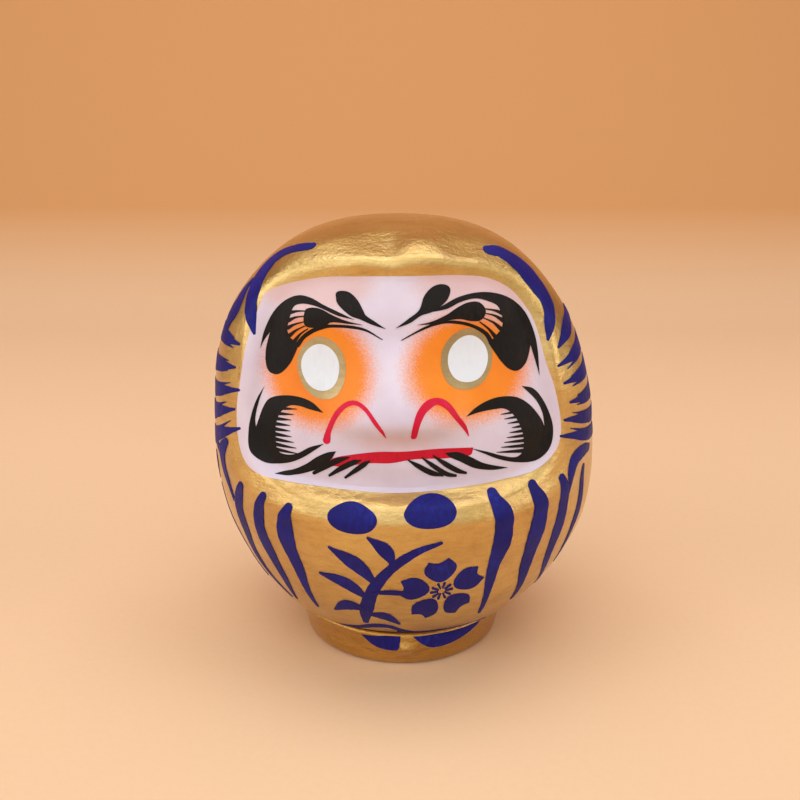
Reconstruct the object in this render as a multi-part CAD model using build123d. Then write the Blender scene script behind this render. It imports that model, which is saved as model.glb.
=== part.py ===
from build123d import *
import math
import os

# A hollow tumbler doll: a moulded paper shell in two halves on a weighted clay foot.
# Millimetres, +Z up, the face looks along -Y, origin on the table under the middle of the foot.

# Body
WIDTH = 108.0  # side to side at the waist
HEIGHT = 122.2  # table to crown
DEPTH_RATIO = 0.95  # front to back against side to side
WAIST_Z = 55.0  # height of the widest girth
LOWER_DROP = 55.5  # from the waist down to where the lower curve would close
WALL = 2.0  # moulded paper
UPPER_POWER = 2.53
LOWER_POWER = 2.0
LOWER_DROP_POWER = 1.9
SIDE_RISE_POWER = 2.37  # crown curve at the sides and back
BROW_RISE_POWER = 4.47  # squarer crown curve over the face, which makes the hood
HOOD_END_AZIMUTH = math.radians(85)  # the hood has faded out here, measured round from the front
HOOD_FADE = math.radians(45)  # and it fades over this much of the turn

# Face, sunk into the front behind a lip
LIP_TOP_Z = 115.0
LIP_BOTTOM_Z = 56.0
LIP_HALF_WIDTH = 45.0  # at the chin
LIP_NARROWING = 0.16  # loss of half width for each millimetre of height
LIP_POWER = 4.0
TOP_WALL_RUN = 6.5  # slope from the lip to the face under the hood
CHIN_WALL_RUN = 3.5
CHIN_DEPTH = 46.0  # from the axis to the face at its lowest edge
FACE_LEAN = 3.5
FACE_CROWNING = 9.0
FACE_SIDE_RADIUS = 65.0  # the face curves back to each side

# Nose
NOSE_Z = 76.0
NOSE_HEIGHT = 7.0
NOSE_HALF_WIDTH = 7.5
NOSE_BRIDGE_LENGTH = 13.0
NOSE_UNDERSIDE_LENGTH = 4.5

# Seam strips pasted inside across the joint of the two halves
STRIP_WIDTH = 16.0
STRIP_THICKNESS = 0.8
STRIP_BOTTOM_Z = 15.0
STRIP_SPLIT_Z = 96.0
STRIP_GAP = 2.0
STRIP_GLUE = 0.1
STRIP_LENGTH_STEPS = 24
STRIP_WIDTH_STEPS = 8
CROWN_STRIP_TURN = 1.35  # closes up the steps where the crown strip bends down at its ends

# Foot
PAPER_THICKNESS = 0.3
PAPER_RADIUS = 26.0
GLUE_THICKNESS = 0.3
GLUE_INNER_RADIUS = 27.9
GLUE_OUTER_RADIUS = 30.2
JOINT_Z = 11.0  # where the shell stands on the foot
FOOT_TOP_RADIUS = 30.7
FOOT_BOTTOM_RADIUS = 28.4
FOOT_EDGE_RADIUS = 1.9
WEIGHT_RADIUS = 24.5  # clay plug that stands up inside the shell
WEIGHT_TOP_RADIUS = 15.0
WEIGHT_SHOULDER_Z = 16.0
WEIGHT_TOP_Z = 24.0
WEIGHT_EDGE_RADIUS = 2.5
HOLLOW_RADIUS = 15.0  # shallow hollow under the foot
HOLLOW_TOP_RADIUS = 12.0
HOLLOW_DEPTH = 2.5
RIM_MATCH = 0.01  # how closely a rim's radius must match to be picked out

# Fineness of the fitted shell surfaces
AZIMUTH_STEPS = 72
LOWER_STEPS = 16
UPPER_STEPS = 50
CROWN_TURN = 0.985  # share of the quarter turn from waist to crown, the rest is a small flat
FIT_TOLERANCE = 0.02
FLAT_MATCH = 0.001  # an edge lower than this counts as level


def ease(share):
    """Smooth change from 0 to 1."""
    share = min(1.0, max(0.0, share))
    return share * share * (3.0 - 2.0 * share)


def rise_power(azimuth):
    """Crown curve: square over the face, plain from the ears backwards. Azimuth 0 is the front."""
    fade = (HOOD_END_AZIMUTH - abs(azimuth)) / HOOD_FADE
    return SIDE_RISE_POWER + (BROW_RISE_POWER - SIDE_RISE_POWER) * ease(fade)


def girth_radius(azimuth, z, inset):
    """Half width of the plain body at one height, drawn in by the inset."""
    half_width = WIDTH / 2 - inset
    if z >= WAIST_Z:
        rise = (z - WAIST_Z) / (HEIGHT - inset - WAIST_Z)
        return half_width * (1 - rise ** rise_power(azimuth)) ** (1 / UPPER_POWER)
    drop = (WAIST_Z - z) / (LOWER_DROP - inset)
    return half_width * (1 - drop**LOWER_DROP_POWER) ** (1 / LOWER_POWER)


def face_share(x, z):
    """0 outside the lip around the face, 1 on the face, between them on the sloping wall."""
    half_height = (LIP_TOP_Z - LIP_BOTTOM_Z) / 2
    middle_z = (LIP_TOP_Z + LIP_BOTTOM_Z) / 2
    half_width = LIP_HALF_WIDTH - LIP_NARROWING * (z - LIP_BOTTOM_Z)
    across = abs(x) / half_width
    up = abs(z - middle_z) / half_height
    reach = (across**LIP_POWER + up**LIP_POWER) ** (1 / LIP_POWER)
    height_share = (z - LIP_BOTTOM_Z) / (LIP_TOP_Z - LIP_BOTTOM_Z)
    wall_run = CHIN_WALL_RUN + (TOP_WALL_RUN - CHIN_WALL_RUN) * height_share
    return ease((1 - reach) * half_height / wall_run)


def face_y(x, z, inset):
    """The sunken face: it leans back towards the brow, curves back to the sides and has a nose."""
    height_share = (z - LIP_BOTTOM_Z) / (LIP_TOP_Z - LIP_BOTTOM_Z)
    plain = CHIN_DEPTH - FACE_LEAN * height_share - FACE_CROWNING * height_share**2
    length = NOSE_BRIDGE_LENGTH if z > NOSE_Z else NOSE_UNDERSIDE_LENGTH
    nose = NOSE_HEIGHT * math.exp(-((x / NOSE_HALF_WIDTH) ** 2) - ((z - NOSE_Z) / length) ** 2)
    return inset - plain - nose + x * x / (2 * FACE_SIDE_RADIUS)


def skin_point(azimuth, z, inset):
    """Point of the shell's surface at one azimuth and height."""
    radius = girth_radius(azimuth, z, inset)
    x = radius * math.sin(azimuth)
    y = -DEPTH_RATIO * radius * math.cos(azimuth)
    if y < 0 and LIP_BOTTOM_Z < z < LIP_TOP_Z:
        sunk = max(y, face_y(x, z, inset))
        y += (sunk - y) * face_share(x, z)
    return (x, y, z)


def level_heights(inset):
    """Even steps up to the waist, then even turns of the upper curve up to the crown."""
    lower_step = (WAIST_Z - JOINT_Z) / LOWER_STEPS
    heights = [JOINT_Z + lower_step * i for i in range(LOWER_STEPS)]
    for i in range(UPPER_STEPS + 1):
        turn = CROWN_TURN * math.pi / 2 * i / UPPER_STEPS
        rise = math.sin(turn) ** (2 / SIDE_RISE_POWER)
        heights.append(WAIST_Z + (HEIGHT - inset - WAIST_Z) * rise)
    return heights


def half_skin(first_azimuth, inset):
    """One smooth face from ear to ear, from the foot joint to the crown."""
    rows = []
    for i in range(AZIMUTH_STEPS + 1):
        azimuth = first_azimuth + math.pi * i / AZIMUTH_STEPS
        row = [Vector(*skin_point(azimuth, z, inset)) for z in level_heights(inset)]
        if i in (0, AZIMUTH_STEPS):
            row = [Vector(point.X, 0, point.Z) for point in row]
        rows.append(row)
    return Face.make_surface_from_array_of_points(rows, tol=FIT_TOLERANCE)


def sorted_edges(skin):
    """The four edges of a half skin: foot rim, crown rim, left side and right side."""
    level = [edge for edge in skin.edges() if edge.bounding_box().size.Z < FLAT_MATCH]
    upright = [edge for edge in skin.edges() if edge.bounding_box().size.Z >= FLAT_MATCH]
    foot_rim, crown_rim = sorted(level, key=lambda edge: edge.center().Z)
    left, right = sorted(upright, key=lambda edge: edge.center().X)
    return foot_rim, crown_rim, left, right


def side_ends(side):
    """Lower and upper end of a side edge."""
    return sorted([side.position_at(0), side.position_at(1)], key=lambda point: point.Z)


def shell_half(first_azimuth):
    """Half the paper shell: outer and inner skins, closed on the parting plane, rim and crown."""
    outer = half_skin(first_azimuth, 0.0)
    inner = half_skin(first_azimuth, WALL)
    faces = [outer, inner]
    outer_foot, outer_crown, outer_left, outer_right = sorted_edges(outer)
    inner_foot, inner_crown, inner_left, inner_right = sorted_edges(inner)
    outer_low_left, outer_high_left = side_ends(outer_left)
    outer_low_right, outer_high_right = side_ends(outer_right)
    inner_low_left, inner_high_left = side_ends(inner_left)
    inner_low_right, inner_high_right = side_ends(inner_right)
    outer_flat = Edge.make_line(outer_high_left, outer_high_right)
    inner_flat = Edge.make_line(inner_high_left, inner_high_right)
    left_foot = Edge.make_line(outer_low_left, inner_low_left)
    right_foot = Edge.make_line(outer_low_right, inner_low_right)
    faces.append(Face(Wire([outer_crown, outer_flat])))
    faces.append(Face(Wire([inner_crown, inner_flat])))
    faces.append(Face(Wire([outer_foot, right_foot, inner_foot, left_foot])))
    parting = [outer_left, outer_flat, outer_right, right_foot]
    parting += [inner_right, inner_flat, inner_left, left_foot]
    faces.append(Face(Wire(parting)))
    return Solid(Shell(faces))


def pasted_strip(outer_rows, inner_rows):
    """Solid between two fitted faces that have matching edges."""
    outer = Face.make_surface_from_array_of_points(outer_rows, tol=FIT_TOLERANCE)
    inner = Face.make_surface_from_array_of_points(inner_rows, tol=FIT_TOLERANCE)
    faces = [outer, inner]
    for outer_edge, inner_edge in zip(outer.edges(), inner.edges()):
        faces.append(Face.make_surface_from_curves(outer_edge, inner_edge))
    return Solid(Shell(faces))


def strip_shares(steps):
    """Evenly spaced shares from -1 to 1."""
    return [2 * i / steps - 1 for i in range(steps + 1)]


def side_strip(side):
    """Strip up one inner side: side is -1 for left and 1 for right."""
    top_z = STRIP_SPLIT_Z - STRIP_GAP / 2
    middle_z = (STRIP_BOTTOM_Z + top_z) / 2
    half_length = (top_z - STRIP_BOTTOM_Z) / 2

    def rows(inset):
        grid = []
        for up in strip_shares(STRIP_LENGTH_STEPS):
            z = middle_z + half_length * up
            radius = girth_radius(math.pi / 2, z, inset)
            row = []
            for across in strip_shares(STRIP_WIDTH_STEPS):
                y = STRIP_WIDTH / 2 * across
                x = side * math.sqrt(radius**2 - (y / DEPTH_RATIO) ** 2)
                row.append(Vector(x, y, z))
            grid.append(row)
        return grid

    return pasted_strip(rows(WALL + STRIP_GLUE), rows(WALL + STRIP_GLUE + STRIP_THICKNESS))


def crown_strip():
    """Strip over the inside of the crown, from the top of one side strip to the other."""
    end_z = STRIP_SPLIT_Z + STRIP_GAP / 2
    half_length = girth_radius(math.pi / 2, end_z, WALL + STRIP_GLUE)

    def rows(inset):
        grid = []
        for along in strip_shares(STRIP_LENGTH_STEPS):
            x = half_length * math.sin(along * CROWN_STRIP_TURN) / math.sin(CROWN_STRIP_TURN)
            row = []
            for across in strip_shares(STRIP_WIDTH_STEPS):
                y = STRIP_WIDTH / 2 * across
                radius = math.hypot(x, y / DEPTH_RATIO) / (WIDTH / 2 - WALL - STRIP_GLUE)
                rise = (1 - radius**UPPER_POWER) ** (1 / SIDE_RISE_POWER)
                row.append(Vector(x, y, WAIST_Z + (HEIGHT - inset - WAIST_Z) * rise))
            grid.append(row)
        return grid

    return pasted_strip(rows(WALL + STRIP_GLUE), rows(WALL + STRIP_GLUE + STRIP_THICKNESS))


def clay_foot():
    """Fired clay weight: the foot that shows, and a plug that stands up inside the shell's open bottom."""
    base = PAPER_THICKNESS
    top = JOINT_Z - GLUE_THICKNESS
    outline = Polyline(
        (0, base + HOLLOW_DEPTH),
        (HOLLOW_TOP_RADIUS, base + HOLLOW_DEPTH),
        (HOLLOW_RADIUS, base),
        (FOOT_BOTTOM_RADIUS, base),
        (FOOT_TOP_RADIUS, top),
        (WEIGHT_RADIUS, top),
        (WEIGHT_RADIUS, WEIGHT_SHOULDER_Z),
        (WEIGHT_TOP_RADIUS, WEIGHT_TOP_Z),
        (0, WEIGHT_TOP_Z),
        close=True,
    )
    foot = revolve(Plane.XZ * make_face(outline), Axis.Z)
    rims = foot.edges().filter_by(GeomType.CIRCLE)
    bottom_rim = [edge for edge in rims if abs(edge.radius - FOOT_BOTTOM_RADIUS) < RIM_MATCH]
    plug_rims = [edge for edge in rims if edge.center().Z > JOINT_Z]
    return fillet(plug_rims, WEIGHT_EDGE_RADIUS).fillet(FOOT_EDGE_RADIUS, bottom_rim)


def glue_ring():
    """Glue bed between the shell's rim and the foot."""
    z = JOINT_Z - GLUE_THICKNESS
    ring = Cylinder(GLUE_OUTER_RADIUS, GLUE_THICKNESS) - Cylinder(GLUE_INNER_RADIUS, GLUE_THICKNESS)
    return Pos(0, 0, z + GLUE_THICKNESS / 2) * ring


def base_paper():
    """Round of paper pasted under the foot."""
    return Pos(0, 0, PAPER_THICKNESS / 2) * Cylinder(PAPER_RADIUS, PAPER_THICKNESS)


os.makedirs("parts", exist_ok=True)

export_step(shell_half(-math.pi / 2), "parts/front_shell.step")
export_step(shell_half(math.pi / 2), "parts/back_shell.step")
export_step(side_strip(-1), "parts/seam_strip_left.step")
export_step(side_strip(1), "parts/seam_strip_right.step")
export_step(crown_strip(), "parts/seam_strip_crown.step")
export_step(clay_foot(), "parts/clay_foot.step")
export_step(glue_ring(), "parts/glue_ring.step")
export_step(base_paper(), "parts/base_paper.step")
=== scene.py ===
import math

import bmesh
import bpy
import numpy as np
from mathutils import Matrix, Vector
from mathutils.geometry import delaunay_2d_cdt


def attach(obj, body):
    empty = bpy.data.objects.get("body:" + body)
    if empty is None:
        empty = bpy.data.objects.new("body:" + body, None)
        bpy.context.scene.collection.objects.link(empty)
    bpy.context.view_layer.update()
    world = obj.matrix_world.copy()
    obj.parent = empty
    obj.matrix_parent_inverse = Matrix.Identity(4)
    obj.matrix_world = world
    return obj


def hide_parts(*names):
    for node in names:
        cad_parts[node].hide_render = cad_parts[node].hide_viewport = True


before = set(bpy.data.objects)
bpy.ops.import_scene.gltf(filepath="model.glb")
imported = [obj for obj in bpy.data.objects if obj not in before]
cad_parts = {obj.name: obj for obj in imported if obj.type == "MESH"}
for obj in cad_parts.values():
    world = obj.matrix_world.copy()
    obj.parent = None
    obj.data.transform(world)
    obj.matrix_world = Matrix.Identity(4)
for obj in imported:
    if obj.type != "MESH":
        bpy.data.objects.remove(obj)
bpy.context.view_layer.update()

MM = 0.001

# Body shape, in millimetres, as in the CAD model
HALF_WIDTH = 54.0
HEIGHT = 122.2
DEPTH_RATIO = 0.95  # depth front to back, as a share of the width
WAIST_Z = 55.0  # height where the body is widest
LOWER_DROP = 55.5  # the lower curve would close this far under the waist
UPPER_POWER = 2.53
LOWER_POWER = 2.0
LOWER_DROP_POWER = 1.9
SIDE_RISE_POWER = 2.37
BROW_RISE_POWER = 4.47
WALL = 2.0
JOINT_Z = 11.0  # height where the shell stands on the foot

# Lip around the sunken face
LIP_TOP_Z = 115.0
LIP_BOTTOM_Z = 56.0
LIP_HALF_WIDTH = 45.0
LIP_NARROWING = 0.16  # loss of half width for each millimetre up
LIP_POWER = 4.0
TOP_WALL_RUN = 6.5  # the wall inside the lip takes this much of the face at the top
CHIN_WALL_RUN = 3.5
CHIN_DEPTH = 46.0  # the face stands this far in front of the axis at the chin
FACE_LEAN = 3.5
FACE_CROWNING = 9.0
FACE_SIDE_RADIUS = 65.0

# Fullness left by the moulding, in millimetres
LIP_ROLL = 1.2
BELLY_SWELL = 1.5
BELLY_Z = 48.0
RIM_TUCK = 1.2
NORMAL_STEP = 0.25  # the skin's slope is measured over this distance each way


def ease(share):
    """Smooth change from 0 to 1."""
    share = np.clip(share, 0.0, 1.0)
    return share * share * (3.0 - 2.0 * share)


def mound(x, z, middle_x, middle_z, reach_x, reach_z):
    """Soft round rise with a height of 1."""
    return np.exp(-(((x - middle_x) / reach_x) ** 2) - ((z - middle_z) / reach_z) ** 2)


def front_share(azimuth, end, fade):
    """1 at the front, falling to 0 at an azimuth of end degrees over the last fade degrees."""
    return ease((math.radians(end) - np.abs(azimuth)) / math.radians(fade))


def girth(azimuth, z, inset=0.0):
    """Half width of the plain body, squarer over the face than at the sides."""
    power = SIDE_RISE_POWER + (BROW_RISE_POWER - SIDE_RISE_POWER) * front_share(azimuth, 85, 45)
    rise = np.clip((z - WAIST_Z) / (HEIGHT - inset - WAIST_Z), 0.0, 1.0)
    temples = 0.7 * mound(0.0, z, 0.0, 98.0, 1.0, 14.0)
    drop = np.clip((WAIST_Z - z) / (LOWER_DROP - inset), 0.0, 1.0)
    upper = (1 - rise**power) ** (1 / UPPER_POWER)
    lower = (1 - drop**LOWER_DROP_POWER) ** (1 / LOWER_POWER)
    return (HALF_WIDTH - inset) * np.where(z >= WAIST_Z, upper, lower) - temples


def lip_reach(x, z):
    """1 on the lip round the face, less inside it and more outside."""
    half_height = (LIP_TOP_Z - LIP_BOTTOM_Z) / 2
    middle_z = (LIP_TOP_Z + LIP_BOTTOM_Z) / 2
    half_width = LIP_HALF_WIDTH - LIP_NARROWING * (z - LIP_BOTTOM_Z)
    across = np.abs(x) / half_width
    up = np.abs(z - middle_z) / half_height
    return (across**LIP_POWER + up**LIP_POWER) ** (1 / LIP_POWER)


def lip_roll(azimuth, x, z):
    """Soft roll of paper round the outside of the lip, fading out under the hood, in millimetres."""
    roll = LIP_ROLL * np.exp(-(((lip_reach(x, z) - 1.11) / 0.10) ** 2))
    return roll * ease((110.0 - z) / 14.0) * front_share(azimuth, 80, 15)


def belly_swell(azimuth, z):
    """Fullness of the belly just under the chin, in millimetres."""
    return BELLY_SWELL * mound(0.0, z, 0.0, BELLY_Z, 1.0, 8.0) * front_share(azimuth, 70, 35)


def face_share(x, z):
    """0 outside the lip, 1 on the face. The wall starts crisply under the hood and softly at the chin."""
    height_share = (z - LIP_BOTTOM_Z) / (LIP_TOP_Z - LIP_BOTTOM_Z)
    wall_run = CHIN_WALL_RUN + (TOP_WALL_RUN - CHIN_WALL_RUN) * height_share
    sunk = np.clip((1 - lip_reach(x, z)) * (LIP_TOP_Z - LIP_BOTTOM_Z) / 2 / wall_run, 0.0, 1.0)
    crisp = 0.85 * ease((z - 84.0) / 22.0)
    return (1 - crisp) * ease(sunk) + crisp * (1 - (1 - sunk) ** 2)


def face_relief(x, z):
    """Moulded features that stand out from the face, in millimetres."""
    ridge = 6.0 * mound(x, z, -0.5, 77.0, 6.5, np.where(z > 77.0, 13.0, 4.6))
    left_wing = 3.6 * mound(x, z, -11.0, 76.5, 6.0, np.where(z > 76.5, 6.0, 4.4))
    right_wing = 3.6 * mound(x, z, 9.5, 77.0, 6.0, np.where(z > 77.0, 6.0, 4.4))
    cheeks = 1.2 * (mound(x, z, -27.0, 72.0, 9.0, 9.0) + mound(x, z, 27.0, 73.0, 9.0, 9.0))
    brows = 1.3 * (mound(x, z, -17.0, 101.0, 13.0, 4.5) + mound(x, z, 17.0, 102.0, 13.0, 4.5))
    sockets = 1.1 * (mound(x, z, -19.0, 89.0, 8.0, 8.0) + mound(x, z, 16.5, 90.5, 8.0, 8.0))
    lips = 0.7 * mound(x, z, 0.0, 65.5, 18.0, 2.6)
    return ridge + left_wing + right_wing + cheeks + brows + lips - sockets


def face_y(x, z, inset=0.0):
    """Depth of the sunken face: it leans back towards the brow and curves back to the sides."""
    height_share = (z - LIP_BOTTOM_Z) / (LIP_TOP_Z - LIP_BOTTOM_Z)
    plain = CHIN_DEPTH - FACE_LEAN * height_share - FACE_CROWNING * height_share**2
    return inset - plain - face_relief(x, z) + x * x / (2 * FACE_SIDE_RADIUS)


def lean(z):
    """The moulded body stands a little crooked."""
    return 1.1 * mound(0.0, z, 0.0, 36.0, 1.0, 20.0) - 1.2 * ease((z - 70.0) / 35.0)


def unevenness(azimuth, z):
    """Shallow dents and swellings left by pasting and drying, in millimetres."""
    side_wave = 0.22 * np.sin(3.0 * azimuth + 0.061 * z) + 0.16 * np.sin(5.0 * azimuth - 0.13 * z + 1.0)
    fine_wave = 0.10 * np.sin(9.0 * azimuth + 0.21 * z + 0.5) + 0.07 * np.sin(14.0 * azimuth - 0.3 * z)
    crown_fade = ease((HEIGHT - z) / 30.0)
    foot_fade = ease((z - JOINT_Z) / 8.0)
    return (side_wave + fine_wave) * crown_fade * foot_fade


def hood_dents(x, z):
    """Places where the edge of the hood was pressed back while damp, in millimetres."""
    middle = 2.0 * mound(x, z, -1.5, 116.5, 3.6, 3.4)
    right = 0.6 * mound(x, z, 15.0, 116.0, 5.0, 2.6)
    left = 0.5 * mound(x, z, -19.0, 115.5, 6.0, 2.6)
    between_brows = 0.5 * mound(x, z, 1.0, 95.5, 4.0, 3.0)
    return middle + right + left + between_brows


def crown_creases(x, y, z):
    """Rises and hollows in the paper just behind the edge of the hood, in millimetres."""
    rises = 0.6 * mound(x, y, 5.5, -30.0, 7.0, 5.0) + 0.45 * mound(x, y, -20.0, -26.0, 7.0, 5.0)
    hollows = 0.65 * mound(x, y, -5.5, -30.0, 6.0, 5.0) + 0.4 * mound(x, y, 17.0, -29.0, 6.0, 4.5)
    return (rises - hollows) * ease((z - 108.0) / 6.0) * ease((HEIGHT - z) / 3.0)


def skin(azimuth, z, inset=0.0):
    """Points of the moulded body, azimuth 0 at the front. Returns x, y and z in millimetres."""
    azimuth = np.asarray(azimuth, dtype=float)
    z = np.asarray(z, dtype=float)
    radius = girth(azimuth, z, inset)
    if inset == 0:
        tuck = RIM_TUCK * (1 - ease((z - JOINT_Z) / 2.5))
        roll = lip_roll(azimuth, radius * np.sin(azimuth), z) + belly_swell(azimuth, z)
        radius = radius + unevenness(azimuth, z) + roll - tuck
    x = radius * np.sin(azimuth)
    y = -DEPTH_RATIO * radius * np.cos(azimuth)
    sunk = np.maximum(y, face_y(x, z, inset))
    front = (y < 0) & (z > LIP_BOTTOM_Z) & (z < LIP_TOP_Z)
    y = np.where(front, y + (sunk - y) * face_share(x, z), y)
    if inset == 0:
        y = y + np.where(y < 0, hood_dents(x, z), 0.0)
        z = z + crown_creases(x, y, z)
    return np.stack([x + lean(z), y, z + 0 * x], axis=-1)


def azimuth_at(x, z):
    """Azimuth of the point of the front that stands at x."""
    x = np.asarray(x, dtype=float) - lean(z)
    azimuth = np.arcsin(np.clip(x / HALF_WIDTH, -0.999, 0.999))
    for _ in range(12):
        radius = girth(azimuth, z) + unevenness(azimuth, z)
        radius = radius + lip_roll(azimuth, radius * np.sin(azimuth), z) + belly_swell(azimuth, z)
        azimuth = np.arcsin(np.clip(x / radius, -0.999, 0.999))
    return azimuth


def skin_normal(azimuth, z):
    """Outward unit normal of the skin."""
    turn = NORMAL_STEP / HALF_WIDTH
    along = skin(azimuth + turn, z) - skin(azimuth - turn, z)
    up = skin(azimuth, np.minimum(z + NORMAL_STEP, HEIGHT - 0.001)) - skin(azimuth, z - NORMAL_STEP)
    normal = np.cross(along, up)
    return normal / np.maximum(np.linalg.norm(normal, axis=-1, keepdims=True), 1e-9)


# ---- making meshes

TIP_TURN = 72.0  # a closed outline that turns by more degrees than this at a point has a tip there


def smooth_line(points, spacing, closed=False):
    """Rounded curve through given points. A point where a closed outline turns sharply stays a tip."""
    points = np.asarray(points, dtype=float)
    count = len(points)
    tips = np.zeros(count, dtype=bool)
    if closed:
        before = points[:, :2] - np.roll(points[:, :2], 1, axis=0)
        after = np.roll(points[:, :2], -1, axis=0) - points[:, :2]
        cross = before[:, 0] * after[:, 1] - before[:, 1] * after[:, 0]
        turn = np.abs(np.arctan2(cross, (before * after).sum(axis=1)))
        tips = turn > math.radians(TIP_TURN)
    line = []
    for i in range(count if closed else count - 1):
        start, end = points[i], points[(i + 1) % count]
        before = points[i - 1] if closed or i > 0 else start
        after = points[(i + 2) % count] if closed or i + 2 < count else end
        length = np.linalg.norm((end - start)[:2])
        leave = (end - before) / (np.linalg.norm((end - before)[:2]) + 1e-9) * length
        arrive = (after - start) / (np.linalg.norm((after - start)[:2]) + 1e-9) * length
        if tips[i]:
            leave = end - start
        if tips[(i + 1) % count]:
            arrive = end - start
        steps = max(1, int(round(length / spacing)))
        for share in np.arange(steps) / steps:
            a, b = share * share, share**3
            line.append((2 * b - 3 * a + 1) * start + (b - 2 * a + share) * leave
                        + (3 * a - 2 * b) * end + (b - a) * arrive)
    if not closed:
        line.append(points[-1])
    return np.array(line)


def new_object(name, data):
    """Object in the scene that holds a mesh, a light or a camera."""
    held = bpy.data.objects.new(name, data)
    bpy.context.scene.collection.objects.link(held)
    return held


def add_piece(name, vertices, faces, material, smooth=True):
    """A mesh piece in millimetres that rides on the body."""
    mesh = bpy.data.meshes.new(name)
    mesh.from_pydata([tuple(p) for p in np.asarray(vertices) * MM], [], faces)
    mesh.validate()
    if smooth:
        mesh.shade_smooth()
    mesh.materials.append(material)
    piece = new_object(name, mesh)
    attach(piece, "root")
    return piece


def ring_faces(first_ring, second_ring, count):
    """Quads between two rings of vertices that each close on themselves."""
    faces = []
    for i in range(count):
        j = (i + 1) % count
        faces.append((first_ring + i, first_ring + j, second_ring + j, second_ring + i))
    return faces


def wall_faces(first_ring, levels, count):
    """Quads of a wall of stacked rings, facing outwards."""
    faces = []
    for ring in range(first_ring, first_ring + (levels - 1) * count, count):
        faces += ring_faces(ring, ring + count, count)
    return faces


def cap_faces(ring, tip, count):
    """Triangles that close the top of a wall, from its last ring to a tip, facing outwards."""
    return [(tip, ring + i, ring + (i + 1) % count) for i in range(count)]


def turned(faces):
    """The same faces, facing the other way."""
    return [face[::-1] for face in faces]


# ---- body and foot


def body_azimuths(front_count, back_count):
    """Closer together over the face than at the back."""
    front = np.linspace(-math.pi / 2, math.pi / 2, front_count, endpoint=False)
    back = np.linspace(math.pi / 2, 3 * math.pi / 2, back_count, endpoint=False)
    azimuth = np.concatenate([front, back])
    return (azimuth + math.pi) % (2 * math.pi) - math.pi


def body_levels(inset, lower, middle, lip, crown):
    """Heights of the rings, closest together at the lip under the hood."""
    top = HEIGHT - inset
    lip_start, lip_end = 103.0, 114.5
    start_turn = math.asin(((lip_end - WAIST_Z) / (top - WAIST_Z)) ** (SIDE_RISE_POWER / 2))
    turns = np.linspace(start_turn, math.pi / 2 * 0.99, crown)
    return np.concatenate([
        np.linspace(JOINT_Z, WAIST_Z, lower, endpoint=False),
        np.linspace(WAIST_Z, lip_start, middle, endpoint=False),
        np.linspace(lip_start, lip_end, lip, endpoint=False),
        WAIST_Z + (top - WAIST_Z) * np.sin(turns) ** (2 / SIDE_RISE_POWER),
    ])


def make_body(material):
    """Paper shell with its wall: an outer skin, a plainer inner skin and the rim that joins them."""
    azimuth = body_azimuths(front_count=220, back_count=100)
    outer_levels = body_levels(0.0, lower=60, middle=76, lip=36, crown=36)
    inner_levels = body_levels(WALL, lower=8, middle=12, lip=4, crown=8)
    outer = [skin(azimuth, z) for z in outer_levels]
    inner = [skin(azimuth, z, WALL) for z in inner_levels]
    tips = [[(lean(HEIGHT), 0, HEIGHT)], [(lean(HEIGHT), 0, HEIGHT - WALL)]]
    vertices = np.concatenate(outer + inner + tips)
    count = len(azimuth)
    inner_start = len(outer) * count
    outer_tip, inner_tip = len(vertices) - 2, len(vertices) - 1
    faces = wall_faces(0, len(outer), count) + turned(wall_faces(inner_start, len(inner), count))
    faces += ring_faces(inner_start, 0, count)
    faces += cap_faces(inner_start - count, outer_tip, count)
    faces += turned(cap_faces(outer_tip - count, inner_tip, count))
    piece = add_piece("lacquered_body", vertices, faces, material)
    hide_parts("front_shell", "back_shell")


# Radius and height round the clay foot, in millimetres: underside, side, ledge and plug
FOOT_HOLLOW_Z = 2.8
PLUG_TOP_Z = 24.0
FOOT_UNDERSIDE = [(12.0, FOOT_HOLLOW_Z), (14.8, 0.35), (20.0, 0.3), (26.6, 0.3)]
FOOT_SIDE = [
    (27.7, 0.6), (28.4, 1.3), (28.8, 2.4), (29.2, 4.2), (29.7, 6.4), (30.2, 8.4), (30.6, 9.7), (30.7, 10.6),
]
FOOT_LEDGE = [(30.3, 11.0), (28.6, 10.8), (25.5, 10.7), (24.5, 11.5)]
FOOT_PLUG = [
    (24.4, 14.5), (23.6, 16.8), (20.5, 20.0), (16.5, 23.0), (13.0, 23.9), (8.0, PLUG_TOP_Z), (3.0, PLUG_TOP_Z),
]


def foot_skin(azimuth, radius, z):
    """Foot surface: hand-smoothed clay with a small pinch mark at the front."""
    outside = ease((radius - 27.0) / 1.5) * ease((10.6 - z) / 1.0) * ease((z - 0.3) / 1.5)
    wave = 0.16 * np.sin(4 * azimuth + 0.4) + 0.12 * np.sin(7 * azimuth + 0.3 * z)
    pinch = 1.7 * np.exp(-((azimuth - 0.03) / 0.085) ** 2 - ((z - 6.2) / 2.0) ** 2)
    dent = -0.5 * np.exp(-((azimuth - 0.03) / 0.05) ** 2 - ((z - 2.6) / 1.2) ** 2)
    out = radius + outside * (wave + pinch + dent)
    return np.stack([out * np.sin(azimuth), -out * np.cos(azimuth), z + 0 * azimuth], axis=-1)


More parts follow.
